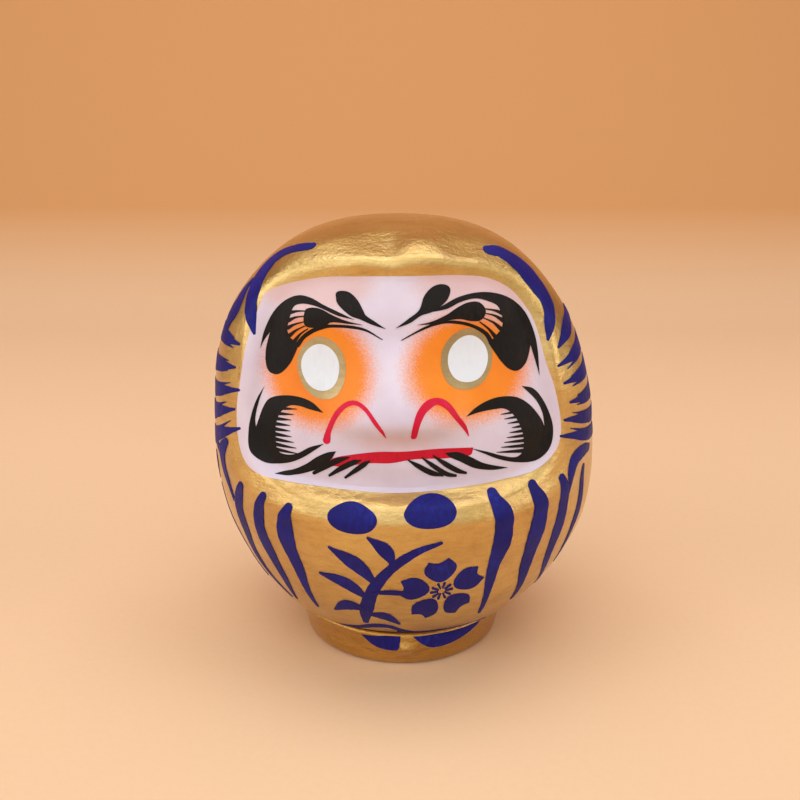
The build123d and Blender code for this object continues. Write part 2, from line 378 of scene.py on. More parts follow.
def make_foot(material):
    """Clay foot with its plug, closed on the axis above and in the hollow below."""
    azimuth = np.linspace(-math.pi, math.pi, 240, endpoint=False)
    profile = smooth_line(FOOT_UNDERSIDE + FOOT_SIDE + FOOT_LEDGE + FOOT_PLUG, 0.5)
    rings = [foot_skin(azimuth, radius, z) for radius, z in profile]
    tips = [[(0, 0, FOOT_HOLLOW_Z)], [(0, 0, PLUG_TOP_Z)]]
    vertices = np.concatenate(rings + tips)
    count = len(azimuth)
    low_tip, high_tip = len(vertices) - 2, len(vertices) - 1
    faces = wall_faces(0, len(rings), count) + turned(cap_faces(0, low_tip, count))
    faces += cap_faces(low_tip - count, high_tip, count)
    piece = add_piece("clay_foot_painted", vertices, faces, material)
    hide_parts("clay_foot")


# ---- brushed films

FILM_ROOT = -0.05  # films start this far under the surface, in millimetres
OUTLINE_SPACING = 0.45
STROKE_SPACING = 0.6
ROUND_CAP = 0.3  # ends of strokes with a larger half width than this are round
BRUSHED = 0.19  # height of brushed paint on the face
OVAL_POINTS = 72


def lay_front(points, height):
    """Points (x, z) seen from the front, laid on the surface at a height above it."""
    azimuth = azimuth_at(points[:, 0], points[:, 1])
    return skin(azimuth, points[:, 1]) + height * skin_normal(azimuth, points[:, 1])


def lay_round(points, height):
    """Points (distance round the waist, z), laid on the surface at a height above it."""
    azimuth = points[:, 0] / HALF_WIDTH
    return skin(azimuth, points[:, 1]) + height * skin_normal(azimuth, points[:, 1])


def lay_foot(points, height):
    """Points (distance round the waist, z), laid on the clay foot."""
    azimuth = points[:, 0] / HALF_WIDTH
    side = np.array(FOOT_SIDE)
    radius = np.interp(points[:, 1], side[:, 1], side[:, 0]) + height
    return foot_skin(azimuth, radius, points[:, 1])


def inside(points, loop):
    """Which points lie inside a closed outline."""
    x, y = points[:, :1], points[:, 1:]
    x1, y1 = loop[:, 0], loop[:, 1]
    x2, y2 = np.roll(x1, -1), np.roll(y1, -1)
    rise = np.where(y2 == y1, 1e-12, y2 - y1)
    crosses = ((y1 > y) != (y2 > y)) & (x < (x2 - x1) * (y - y1) / rise + x1)
    return crosses.sum(axis=1) % 2 == 1


def film_mesh(loop, lay, height, spacing=1.2):
    """Thin closed film over an outline: top, underside and edge walls. Returns vertices and faces."""
    low, high = loop.min(axis=0), loop.max(axis=0)
    grid_x, grid_y = np.meshgrid(np.arange(low[0], high[0], spacing), np.arange(low[1], high[1], spacing))
    grid = np.stack([grid_x.ravel() + spacing / 3, grid_y.ravel() + spacing / 3], axis=1)
    grid = grid[inside(grid, loop)]
    if len(grid):
        gap = np.sqrt(((grid[:, None, :] - loop[None, :, :]) ** 2).sum(axis=2)).min(axis=1)
        grid = grid[gap > spacing * 0.45]
    flat = np.concatenate([loop, grid]) if len(grid) else loop
    count = len(loop)
    edges = [(i, (i + 1) % count) for i in range(count)]
    filled = delaunay_2d_cdt([Vector(p) for p in flat], edges, [], 0, 1e-5)
    points = np.array([tuple(p) for p in filled[0]])
    triangles = np.array([f for f in filled[2] if len(f) == 3])
    triangles = triangles[inside(points[triangles].mean(axis=1), loop)]
    top = lay(points, height)
    root = lay(points, FILM_ROOT)
    total = len(points)
    faces = [tuple(t) for t in triangles] + [tuple(t[::-1] + total) for t in triangles]
    directed = {(t[i], t[(i + 1) % 3]) for t in triangles.tolist() for i in range(3)}
    for a, b in sorted(directed):
        if (b, a) not in directed:
            faces.append((b, a, a + total, b + total))
    return np.concatenate([top, root]), faces


def add_film(name, outlines, lay, height, material, spacing=1.2):
    """One piece made of one or more films of a paint, with their height and the spacing of their mesh."""
    vertices, faces, start = [], [], 0
    for order, outline in enumerate(outlines):
        film_vertices, film_faces = film_mesh(outline, lay, height + 0.012 * (order % 6), spacing)
        vertices.append(film_vertices)
        faces += [tuple(int(i) + start for i in face) for face in film_faces]
        start += len(film_vertices)
    piece = add_piece(name, np.concatenate(vertices), faces, material, smooth=False)
    keep_edge_walls_crisp(piece)


def keep_edge_walls_crisp(piece):
    """Smooth over the film, sharp where its edge turns down."""
    mesh = bmesh.new()
    mesh.from_mesh(piece.data)
    bmesh.ops.remove_doubles(mesh, verts=mesh.verts, dist=1e-7)
    loose = [v for v in mesh.verts if not v.link_faces]
    bmesh.ops.delete(mesh, geom=loose, context="VERTS")
    for face in mesh.faces:
        face.smooth = True
    for edge in mesh.edges:
        if len(edge.link_faces) == 2:
            edge.smooth = edge.calc_face_angle(0) < math.radians(40)
    mesh.to_mesh(piece.data)
    mesh.free()


def shape(points):
    """Closed outline through given points."""
    return smooth_line(points, OUTLINE_SPACING, closed=True)


def stroke(points, true_scale=None):
    """Outline of one brush stroke: each point is (along, up, half width)."""
    line = smooth_line(points, STROKE_SPACING)
    middle, half = line[:, :2], np.maximum(line[:, 2:], 0.04)
    scale = true_scale(middle) if true_scale else np.ones_like(middle)
    along = np.arange(len(middle))[:, None] * STROKE_SPACING + middle[0, 0]
    half = half * (1 + 0.045 * np.sin(0.55 * along) + 0.02 * np.sin(1.7 * along + 1.0))
    way = np.gradient(middle, axis=0) * scale
    way /= np.linalg.norm(way, axis=1, keepdims=True) + 1e-9
    across = np.stack([-way[:, 1], way[:, 0]], axis=1)
    side, ahead = across * half / scale, way * half / scale
    left, right = middle + side, middle - side
    caps = []
    for end, facing in ((-1, 1.0), (0, -1.0)):
        arc = []
        if half[end, 0] > ROUND_CAP:
            for turn in np.linspace(0, math.pi, 7)[1:-1]:
                out = side[end] * math.cos(turn) + ahead[end] * math.sin(turn)
                arc.append(middle[end] + facing * out)
        caps.append(np.array(arc).reshape(-1, 2))
    return np.concatenate([left, caps[0], right[::-1], caps[1]])


def round_scale(points):
    """True length on the body of a millimetre round the waist and a millimetre of height."""
    azimuth, z = points[:, 0] / HALF_WIDTH, points[:, 1]
    turn, step = 0.5 / HALF_WIDTH, 0.5
    along = np.linalg.norm(skin(azimuth + turn, z) - skin(azimuth - turn, z), axis=1)
    up = np.linalg.norm(skin(azimuth, z + step) - skin(azimuth, z - step), axis=1)
    return np.clip(np.stack([along, up], axis=1), 0.4, 3.0)


def round_waist(degrees):
    """Distance round the waist from the front, for an azimuth in degrees."""
    return math.radians(degrees) * HALF_WIDTH


def round_stroke(points, heavier=1.0, blunter=0.0):
    """Stroke on the body: each point is (azimuth in degrees, height, half width)."""
    laid = [(round_waist(azimuth), z, half * heavier) for azimuth, z, half in points]
    laid[0] = (laid[0][0], laid[0][1], laid[0][2] + blunter)
    return stroke(laid, round_scale)


def oval(middle_x, middle_z, reach_x, reach_z, tilt):
    """Hand-drawn oval, slightly uneven, tilted by some degrees."""
    turn = np.linspace(0, 2 * math.pi, OVAL_POINTS, endpoint=False)
    wobble = 1 + 0.012 * np.sin(3 * turn + middle_x) + 0.008 * np.sin(5 * turn)
    across, up = reach_x * wobble * np.cos(turn), reach_z * wobble * np.sin(turn)
    tilt = math.radians(tilt)
    x = middle_x + across * math.cos(tilt) - up * math.sin(tilt)
    z = middle_z + across * math.sin(tilt) + up * math.cos(tilt)
    return np.stack([x, z], axis=1)


# ---- painted marks

# Outlines on the face: across and up, in millimetres
FACE_COAT = [
    (-33.5, 105.8), (-21.5, 109.4), (-9.2, 110.2), (1.5, 110.2), (18.3, 110.0), (25.6, 107.2), (30.0, 102.8),
    (33.0, 97.8), (35.8, 88.5), (38.3, 81.5), (40.2, 71.5), (39.0, 66.0), (33.6, 61.8), (24.8, 60.2),
    (13.1, 59.2), (-3.2, 58.6), (-17.8, 59.0), (-29.8, 59.8), (-38.8, 61.6), (-41.8, 66.3), (-42.2, 75.9),
    (-40.7, 84.6), (-39.5, 91.0), (-38.1, 96.2), (-36.0, 101.3),
]
LEFT_BROW = [
    (-35.7, 91.8), (-34.6, 96.1), (-32.2, 100.7), (-29.1, 103.7), (-25.6, 105.1), (-22.5, 104.7),
    (-19.4, 103.3), (-15.4, 101.7), (-11.7, 100.1), (-15.7, 100.9), (-19.4, 102.3), (-21.9, 103.0), (-24.9, 103.2),
    (-26.9, 102.3), (-28.2, 98.5), (-28.6, 96.9), (-27.8, 94.8), (-26.0, 93.4), (-26.7, 90.9), (-28.4, 87.9),
    (-31.0, 85.7), (-33.3, 86.0), (-34.3, 88.0), (-34.3, 91.2), (-33.7, 93.9), (-33.1, 95.8), (-34.5, 94.0),
]
LEFT_FEATHER = [
    (-24.1, 101.0), (-23.7, 102.0), (-21.9, 102.5), (-19.7, 102.2), (-17.5, 101.2), (-14.1, 99.9), (-9.7, 98.9),
    (-13.5, 99.1), (-17.3, 99.3), (-18.9, 98.4), (-21.7, 97.7), (-23.7, 97.9), (-24.3, 99.1),
]
LEFT_COMMA = [
    (-16.2, 104.8), (-16.2, 106.1), (-14.7, 106.6), (-12.8, 106.2), (-10.9, 104.5), (-9.6, 102.3), (-9.0, 101.2),
    (-6.7, 99.7), (-4.1, 98.0), (-7.2, 98.9), (-10.4, 100.2), (-12.5, 100.9), (-14.6, 102.4), (-16.0, 103.9),
]
RIGHT_BROW = [
    (6.9, 101.9), (10.1, 103.6), (13.3, 105.1), (17.7, 106.0), (22.0, 105.8), (26.4, 104.3), (29.8, 101.5),
    (32.0, 97.8), (33.5, 93.0), (34.4, 84.9), (32.9, 89.6), (31.9, 92.6), (31.4, 90.4), (30.5, 88.2),
    (28.5, 86.7), (26.3, 87.3), (24.3, 89.2), (22.7, 91.4), (21.0, 93.8), (22.7, 95.3), (24.4, 97.5),
    (24.5, 99.4), (23.4, 102.5), (20.9, 103.9), (17.6, 104.7), (13.9, 104.0), (10.7, 102.6),
]
RIGHT_FEATHER = [
    (20.2, 101.6), (18.7, 103.7), (16.0, 103.9), (13.3, 102.9), (10.7, 101.3), (7.0, 99.7), (3.4, 98.9),
    (7.5, 99.1), (11.2, 99.9), (13.9, 100.1), (16.6, 99.5), (19.0, 99.6),
]
RIGHT_COMMA = [
    (11.5, 106.8), (10.9, 107.8), (9.1, 108.2), (7.0, 107.5), (5.1, 105.5), (3.9, 102.4), (1.2, 100.3),
    (-1.7, 98.2), (1.7, 99.4), (4.4, 101.1), (7.0, 101.9), (9.3, 103.3), (10.9, 104.9),
]
LEFT_BEARD = [
    (-19.4, 77.5), (-22.3, 79.7), (-25.6, 80.7), (-29.6, 80.7), (-33.3, 79.5), (-35.1, 77.1), (-36.5, 73.7),
    (-37.2, 71.9), (-37.3, 74.3), (-36.2, 78.7), (-34.8, 82.2), (-36.7, 79.3), (-38.2, 75.4), (-39.1, 70.9),
    (-38.9, 66.2), (-36.7, 64.1), (-33.3, 63.1), (-28.7, 64.0), (-25.2, 65.7), (-21.6, 68.2), (-19.4, 69.9),
    (-22.9, 68.8), (-26.3, 66.8), (-29.1, 66.1), (-31.4, 66.8), (-31.8, 70.1), (-31.8, 72.8), (-31.2, 75.1),
    (-30.2, 76.8), (-28.1, 78.4), (-25.6, 78.6), (-22.8, 78.0),
]
LEFT_CRESCENT = [
    (-32.2, 61.0), (-27.5, 62.4), (-24.1, 64.3), (-21.3, 66.4), (-18.5, 67.8), (-16.4, 68.2), (-17.6, 66.2),
    (-20.6, 63.7), (-24.2, 62.0), (-28.2, 60.8),
]
RIGHT_BEARD = [
    (15.4, 77.1), (17.7, 78.8), (21.0, 80.3), (24.3, 80.9), (28.2, 80.4), (31.6, 78.2), (34.6, 74.5),
    (35.8, 72.0), (35.2, 75.5), (33.4, 79.0), (29.6, 82.9), (32.5, 82.0), (35.2, 79.0), (37.2, 75.1),
    (38.1, 71.5), (37.7, 67.6), (36.0, 65.1), (33.1, 63.7), (28.4, 64.2), (23.9, 65.6), (20.0, 67.4),
    (16.8, 68.9), (21.1, 67.7), (25.0, 66.3), (28.4, 65.6), (30.0, 66.8), (30.1, 70.4), (29.0, 73.8),
    (27.3, 76.4), (25.1, 78.0), (22.6, 78.1), (18.8, 77.7),
]
RIGHT_CRESCENT = [
    (10.3, 68.2), (13.5, 68.2), (16.7, 66.8), (20.0, 65.0), (26.2, 63.1), (22.3, 63.0), (17.8, 63.9),
    (14.0, 65.9), (11.3, 67.2),
]
BROW_MASSES = [LEFT_BROW, LEFT_FEATHER, LEFT_COMMA, RIGHT_BROW, RIGHT_FEATHER, RIGHT_COMMA]
BEARD_MASSES = [LEFT_BEARD, LEFT_CRESCENT, RIGHT_BEARD, RIGHT_CRESCENT]
MOUTH = [
    (-19.1, 64.7), (-17.5, 66.3), (-12.6, 67.6), (-6.2, 68.6), (0.1, 68.8), (8.6, 69.3), (17.3, 69.1),
    (16.6, 67.3), (10.8, 66.9), (2.8, 66.9), (-3.0, 66.0), (-8.3, 65.8), (-12.6, 65.0), (-15.9, 64.5),
]

# Strokes on the face: across, up and half width, in millimetres
BROW_LINES = [
    [(-26.0, 93.1, 0.6), (-24.2, 95.4, 0.5), (-21.1, 97.4, 0.5), (-17.3, 98.4, 0.4), (-9.8, 97.9, 0.3),
     (-4.9, 95.5, 0.1)],
    [(21.8, 93.8, 0.6), (20.4, 96.1, 0.5), (17.1, 98.2, 0.4), (13.3, 99.3, 0.4), (9.6, 99.4, 0.3),
     (5.4, 98.2, 0.3), (-0.4, 95.3, 0.1)],
]
# Short hairs in the brows, each from its root to its tip, and the half widths that they taper through
BROW_FRINGE = [
    [(-27.9, 100.9), (-26.0, 101.4), (-23.9, 101.6)],
    [(-28.2, 99.0), (-26.4, 99.9), (-24.0, 100.4)],
    [(-28.4, 97.2), (-26.6, 98.2), (-24.2, 99.0)],
    [(-27.9, 95.4), (-26.2, 96.8), (-24.0, 98.0)],
    [(-26.6, 94.2), (-25.2, 95.9), (-23.2, 97.4)],
    [(24.4, 100.9), (22.4, 101.7), (19.6, 102.3)],
    [(24.6, 99.1), (22.6, 100.4), (20.0, 101.2)],
    [(24.0, 97.2), (22.2, 98.8), (19.6, 100.1)],
    [(22.6, 95.4), (21.0, 97.3), (18.7, 99.2)],
]
FRINGE_TAPER = (0.5, 0.25, 0.12)
# Thin whiskers at the ends of the mouth and the two arcs over the nostrils, with half widths
WHISKERS = [
    [(-22.0, 62.2, 0.3), (-19.2, 64.2, 0.5), (-15.9, 66.0, 0.5), (-13.0, 67.0, 0.1)],
    [(-18.3, 61.8, 0.2), (-14.8, 64.3, 0.5), (-11.8, 65.9, 0.4), (-10.2, 66.4, 0.1)],
    [(-14.3, 61.6, 0.2), (-11.6, 63.8, 0.4), (-9.4, 65.5, 0.4), (-8.0, 66.4, 0.1)],
    [(1.2, 66.8, 0.1), (3.9, 65.2, 0.4), (7.1, 63.4, 0.5), (10.0, 62.6, 0.2)],
    [(4.6, 67.3, 0.1), (7.6, 65.1, 0.4), (10.8, 62.9, 0.4), (13.2, 62.3, 0.2)],
    [(7.3, 67.7, 0.1), (10.0, 65.8, 0.4), (13.5, 63.6, 0.4), (15.7, 62.8, 0.2)],
]
NOSTRIL_ARCS = [
    [(-18.7, 70.8, 0.9), (-18.2, 73.1, 0.7), (-16.2, 77.5, 0.6), (-13.8, 80.1, 0.5), (-11.4, 80.8, 0.5),
     (-9.0, 79.7, 0.5), (-6.7, 77.0, 0.5), (-5.0, 74.7, 0.4), (-4.1, 72.8, 0.1)],
    [(2.6, 73.2, 0.7), (3.1, 76.3, 0.8), (4.2, 79.1, 1.0), (5.8, 80.7, 1.0), (8.2, 81.4, 0.7), (10.7, 80.2, 0.7),
     (13.0, 77.3, 0.6), (15.0, 74.5, 0.5), (16.1, 72.1, 0.1)],
]
# Short hairs that comb inwards from each beard: lengths from the top down, the gap between them and taper
LEFT_TEETH = [5.5, 4.6, 4.0, 3.7, 3.7, 4.0, 4.6, 5.2, 5.8]
RIGHT_TEETH = [5.6, 5.2, 4.6, 3.7, 4.3, 4.8, 5.1, 5.4, 6.0]
TOOTH_GAP = 1.28
TOOTH_TAPER = (0.52, 0.3, 0.06)


def tapered(hair, halves):
    """Stroke points, from a hair's points and the half widths that it tapers through."""
    return [(x, z, half) for (x, z), half in zip(hair, halves)]


def tooth(start, root, z, length, slant):
    """Points of one short hair: where it starts under the beard, its middle and its tip."""
    return [(start, z), (root + length * 0.5, z + slant), (root + length, z + 1.6 * slant)]


def beard_teeth():
    """Points of all the short hairs, left ones first."""
    hairs = []
    for order, length in enumerate(LEFT_TEETH):
        hairs.append(tooth(-32.4, -31.6, 77.3 - TOOTH_GAP * order, length, 0.3 - 0.06 * order))
    for order, length in enumerate(RIGHT_TEETH):
        root = 29.2 + 1.5 * math.sin(math.pi * (order + 1) / 9)
        hairs.append(tooth(root + 0.6, root, 77.2 - TOOTH_GAP * order, -length, -0.3 * (1 - order / 4)))
    return hairs


# Eye rings and eye whites: middle x, middle z, reach x, reach z and tilt in degrees
EYE_RINGS = [(-19.9, 88.1, 6.1, 7.5, 6.0), (15.6, 90.3, 6.4, 7.3, -6.0)]
EYE_WHITES = [(-20.2, 88.1, 4.8, 5.6, 4.0), (15.9, 90.3, 5.0, 5.6, -4.0)]
# Dots under the chin: azimuth in degrees, height, reach round, reach up and tilt in degrees
CHIN_DOTS = [(-13.3, 53.6, 6.0, 3.6, -2.0), (6.5, 55.2, 6.3, 3.3, 3.0)]
# Strokes round the body: azimuth in degrees, height and half width in millimetres
HOOD_STROKES = [
    [(-37.9, 116.0, 0.9), (-47.3, 115.2, 1.1), (-53.6, 113.0, 1.5), (-54.1, 109.7, 1.9), (-51.5, 105.8, 1.6),
     (-49.0, 101.8, 1.1), (-46.8, 98.4, 0.7), (-44.9, 95.2, 0.15)],
    [(39.3, 115.5, 1.1), (43.9, 114.7, 1.6), (48.0, 111.5, 2.0), (49.9, 107.7, 2.1), (51.4, 103.5, 1.7),
     (50.2, 100.2, 1.2), (47.8, 96.9, 0.7), (45.7, 93.8, 0.15)],
    [(-58.4, 107.3, 0.4), (-59.3, 104.3, 1.3), (-58.6, 100.9, 1.8), (-59.6, 97.8, 1.5), (-59.0, 95.0, 0.2)],
    [(-60.5, 101.0, 1.3), (-61.6, 97.8, 1.2), (-62.2, 94.2, 0.2)],
    [(66.5, 99.4, 0.8), (56.9, 95.7, 1.2), (49.6, 92.0, 0.2)],
]
SIDE_STROKES = [
    [(-72.0, 94.4, 1.2), (-64.0, 93.8, 2.1), (-50.9, 92.5, 0.3)],
    [(-79.0, 86.4, 1.3), (-68.0, 85.6, 2.3), (-52.0, 86.5, 0.3)],
    [(-83.0, 77.2, 1.3), (-70.0, 78.0, 2.2), (-49.6, 81.1, 0.3)],
    [(-84.0, 70.2, 1.3), (-71.0, 71.6, 2.4), (-51.9, 75.7, 0.3)],
    [(-84.0, 62.8, 1.3), (-71.0, 64.5, 2.3), (-49.7, 71.1, 0.3)],
    [(-57.0, 66.0, 0.9), (-61.0, 62.0, 2.1), (-61.4, 58.0, 2.0), (-59.0, 54.4, 1.3), (-56.4, 50.5, 0.3)],
    [(-74.0, 65.4, 0.9), (-67.0, 63.8, 1.5), (-61.0, 60.5, 1.2)],
    [(-73.0, 58.8, 0.6), (-73.6, 56.2, 1.5), (-74.4, 52.0, 0.3)],
    [(78.0, 92.8, 1.2), (66.0, 91.2, 2.1), (48.1, 87.5, 0.3)],
    [(78.0, 85.4, 1.2), (66.0, 84.8, 2.1), (49.6, 82.9, 0.3)],
    [(80.0, 78.4, 1.2), (68.0, 78.0, 2.2), (51.7, 77.6, 0.3)],
    [(81.0, 70.6, 1.2), (68.0, 71.3, 2.0), (49.3, 73.3, 0.3)],
    [(82.0, 63.6, 1.2), (70.0, 65.7, 2.0), (47.7, 69.3, 0.3)],
    [(68.0, 61.6, 1.0), (60.0, 62.8, 1.6), (54.4, 61.9, 1.8), (51.8, 58.4, 1.4), (51.6, 54.3, 0.3)],
]
BELLY_STROKES = [
    [(-49.1, 56.1, 0.4), (-53.3, 50.4, 1.6), (-55.4, 43.2, 2.0), (-58.5, 33.9, 1.6), (-56.1, 25.4, 0.8),
     (-50.0, 19.7, 0.3)],
    [(-39.6, 55.6, 0.4), (-43.0, 49.8, 1.5), (-44.6, 42.9, 1.8), (-44.8, 34.5, 1.6), (-44.4, 27.7, 1.1),
     (-45.8, 20.3, 0.3)],
    [(-30.8, 54.5, 0.4), (-33.0, 49.9, 1.8), (-34.5, 42.2, 1.9), (-33.8, 33.5, 1.3), (-34.2, 20.7, 0.3)],
    [(-73.5, 48.5, 0.4), (-73.5, 42.5, 1.1), (-72.0, 32.5, 1.0), (-64.0, 23.0, 0.3)],
    [(23.5, 58.3, 0.5), (25.6, 53.9, 2.0), (26.3, 46.8, 2.1), (25.6, 36.2, 1.3), (28.8, 19.8, 0.3)],
    [(36.3, 58.8, 0.5), (38.4, 52.7, 2.0), (37.9, 42.8, 2.1), (39.0, 32.9, 1.3), (44.0, 20.9, 0.3)],
    [(47.3, 58.4, 0.5), (49.1, 52.9, 1.8), (48.9, 42.7, 1.8), (49.8, 33.0, 1.1), (58.7, 22.1, 0.3)],
    [(61.9, 57.3, 0.5), (61.4, 50.3, 1.3), (60.6, 40.6, 1.4), (63.5, 28.0, 0.3)],
]
# A brushed sprig: a stem with leaves, and one blossom
SPRIG_STROKES = [
    [(-15.0, 18.0, 0.6), (-13.0, 25.0, 1.4), (-9.5, 33.0, 1.2), (-4.0, 40.0, 1.0), (2.5, 45.0, 0.8),
     (9.0, 47.5, 0.3)],
    [(-12.0, 28.5, 0.3), (-18.5, 33.5, 1.6), (-26.0, 35.5, 0.3)],
    [(-9.0, 34.0, 0.3), (-14.0, 40.5, 1.8), (-20.5, 45.0, 0.3)],
    [(-3.5, 40.5, 0.3), (-5.5, 45.5, 1.4), (-9.5, 49.0, 0.3)],
    [(-13.5, 24.0, 0.3), (-19.5, 25.0, 1.5), (-25.5, 22.0, 0.3)],
    [(-10.5, 31.0, 0.2), (-4.5, 31.5, 0.7), (1.5, 31.0, 0.5)],
    [(-13.2, 22.0, 0.3), (-7.5, 21.5, 1.3), (-2.0, 18.0, 0.3)],
]
BLOSSOM_MIDDLE = (10.5, 31.5)
# One petal: distance out from the middle of the blossom and distance aside, in millimetres
PETAL = [(3.3, 0.0), (4.8, 2.5), (7.6, 3.9), (10.6, 2.6), (9.8, 0.3), (11.0, -2.2), (7.9, -3.9), (4.9, -2.6)]
PETAL_COUNT = 5
FOOT_SWOOSHES = [
    [(-30.0, 12.9, 0.3), (-20.0, 14.2, 0.8), (-12.3, 16.2, 1.2), (-6.5, 16.3, 1.0), (-1.0, 14.3, 0.7),
     (4.0, 13.0, 0.4)],
    [(-3.0, 13.6, 0.3), (8.0, 12.6, 0.6), (22.5, 12.4, 0.8), (33.0, 12.6, 0.7), (41.0, 13.2, 0.2)],
]
# Outlines of the marks on the foot: azimuth in degrees and height in millimetres
FOOT_LOBES = [
    [(-22.0, 9.6), (-15.0, 9.9), (-9.0, 10.4), (-1.0, 10.4), (-1.5, 8.0), (-3.0, 5.9), (-9.0, 5.5), (-16.0, 6.6)],
    [(5.5, 10.2), (20.0, 10.4), (46.0, 10.3), (38.0, 7.8), (27.0, 6.0), (16.0, 5.8), (10.0, 7.6)],
]


def with_tines(line):
    """A stroke and the two thin lines that a drying brush leaves beside its tip."""
    azimuth, z, half = line[-2]
    tip_azimuth, tip_z, _ = line[-1]
    lines = [line]
    for side in (-1, 1):
        root = (azimuth, z + side * half * 0.5, half * 0.45)
        waist = ((azimuth + tip_azimuth) / 2, (z + tip_z) / 2 + side * half * 0.62, 0.45)
        end = (tip_azimuth + (azimuth - tip_azimuth) * 0.2, tip_z + side * 1.25, 0.08)
        lines.append([root, waist, end])
    return lines


def blossom_petals():
    """Five round petals and a ring of short stamens."""
    middle_azimuth, middle_z = BLOSSOM_MIDDLE
    widening = HALF_WIDTH / float(girth(0.0, middle_z))
    middle = np.array([round_waist(middle_azimuth), middle_z])
    petals, stamens = [], []
    for i in range(PETAL_COUNT):
        turn = math.radians(98 + 360 / PETAL_COUNT * i)
        way = np.array([math.cos(turn) * widening, math.sin(turn)])
        side = np.array([-math.sin(turn) * widening, math.cos(turn)])
        petals.append(shape([middle + way * out + side * aside for out, aside in PETAL]))
        for share in (-0.5, 0.5):
            lean_way = way * math.cos(share * 0.6) + side * math.sin(share * 0.6)
            start, end = middle + lean_way * 0.9, middle + lean_way * 2.7
            stamens.append(stroke([(*start, 0.22), (*end, 0.36)]))
    return petals, stamens


def make_face_marks(paint):
    """The face coat and what is painted on it. Paint maps a name to its material."""
    rings = [oval(*ring) for ring in EYE_RINGS]
    whites = [oval(*white) for white in EYE_WHITES]
    brows = [shape(mass) for mass in BROW_MASSES] + [stroke(line) for line in BROW_LINES]
    brows += [stroke(tapered(hair, FRINGE_TAPER)) for hair in BROW_FRINGE]
    beards = [shape(mass) for mass in BEARD_MASSES]
    beards += [stroke(tapered(hair, TOOTH_TAPER)) for hair in beard_teeth()]
    arcs = [stroke(line) for line in NOSTRIL_ARCS]
    whiskers = [stroke([(x, z, half * 1.4) for x, z, half in line]) for line in WHISKERS]
    add_film("face_coat", [shape(FACE_COAT)], lay_front, 0.10, paint["face"], 0.8)
    add_film("eye_rings", rings, lay_front, 0.17, paint["ring"])
    add_film("eye_whites", whites, lay_front, 0.26, paint["white"])
    add_film("brows", brows, lay_front, BRUSHED, paint["black"], 1.0)
    add_film("beards", beards, lay_front, BRUSHED, paint["black"], 1.0)
    add_film("mouth", [shape(MOUTH)], lay_front, BRUSHED, paint["red"], 1.0)
    add_film("nostril_arcs", arcs, lay_front, BRUSHED, paint["pink"], 1.0)
    add_film("whiskers", whiskers, lay_front, 0.27, paint["black"], 1.0)


def make_blue_marks(blue):
    """The ultramarine strokes, dots and sprig on the gold, with the blue material."""
    hood = [round_stroke(line, 1.75) for line in HOOD_STROKES]
    sides = [round_stroke(line, 1.12) for side_stroke in SIDE_STROKES for line in with_tines(side_stroke)]
    belly = [round_stroke(line, 1.28, 0.6) for line in BELLY_STROKES]
    dots = [oval(round_waist(azimuth), *rest) for azimuth, *rest in CHIN_DOTS]
    petals, stamens = blossom_petals()
    sprig = [round_stroke(line, 1.35) for line in SPRIG_STROKES] + petals + stamens
    swooshes = [round_stroke(line) for line in FOOT_SWOOSHES]
    lobes = [shape([(round_waist(azimuth), z) for azimuth, z in lobe]) for lobe in FOOT_LOBES]
    add_film("hood_strokes", hood, lay_round, 0.14, blue, 0.9)
    add_film("side_strokes", sides, lay_round, 0.13, blue, 1.2)
    add_film("belly_strokes", belly, lay_round, 0.14, blue, 1.1)
    add_film("chin_dots", dots, lay_round, 0.18, blue, 0.6)
    add_film("belly_sprig", sprig, lay_round, 0.13, blue, 1.3)
    add_film("foot_swooshes", swooshes, lay_round, 0.13, blue, 1.2)
    add_film("foot_lobes", lobes, lay_foot, 0.13, blue, 1.0)


# ---- materials


class Nodes:
    """Short ways of adding and joining shader nodes."""

    def __init__(self, tree):
        self.tree = tree

    def feed(self, node, inputs):
        """Give a node's inputs, by name, another node's output or a value."""
        for name, value in inputs.items():
            if isinstance(value, bpy.types.NodeSocket):
                self.tree.links.new(value, node.inputs[name])
            else:
                node.inputs[name].default_value = value

    def add(self, kind, inputs=None, **settings):
        node = self.tree.nodes.new(kind)
        for name, value in settings.items():
            setattr(node, name, value)
        self.feed(node, inputs or {})
        return node

    def place(self):
        return self.add("ShaderNodeTexCoord").outputs["Object"]

    def stretched(self, where, scale):
        return self.add("ShaderNodeMapping", {"Vector": where, "Scale": scale}).outputs["Vector"]

    def noise(self, where, scale, detail=4.0, roughness=0.55):
        inputs = {"Vector": where, "Scale": scale, "Detail": detail, "Roughness": roughness}
        return self.add("ShaderNodeTexNoise", inputs).outputs["Fac"]

    def maths(self, operation, first, second):
        return self.add("ShaderNodeMath", {0: first, 1: second}, operation=operation).outputs["Value"]

    def plus(self, first, second):
        return self.maths("ADD", first, second)

    def times(self, first, second):
        return self.maths("MULTIPLY", first, second)

    def spread(self, value, low, high, to_low=0.0, to_high=1.0):
        inputs = {"Value": value, "From Min": low, "From Max": high, "To Min": to_low, "To Max": to_high}
        return self.add("ShaderNodeMapRange", inputs).outputs["Result"]

    def mix(self, share, first, second):
        inputs = {"Factor": share, "A": first, "B": second}
        return self.add("ShaderNodeMix", inputs, data_type="RGBA").outputs["Result"]

    def bump(self, height, strength, distance):
        inputs = {"Height": height, "Strength": strength, "Distance": distance}
        return self.add("ShaderNodeBump", inputs).outputs["Normal"]


def colour(red, green, blue):
    """Linear colour from the 0 to 255 values that a paint chart gives."""
    linear = []
    for value in (red, green, blue):
        share = value / 255
        linear.append(share / 12.92 if share <= 0.04045 else ((share + 0.055) / 1.055) ** 2.4)
    return (*linear, 1.0)


GROUP_OUTPUTS = [("Colour", "NodeSocketColor"), ("Roughness", "NodeSocketFloat"), ("Height", "NodeSocketFloat")]


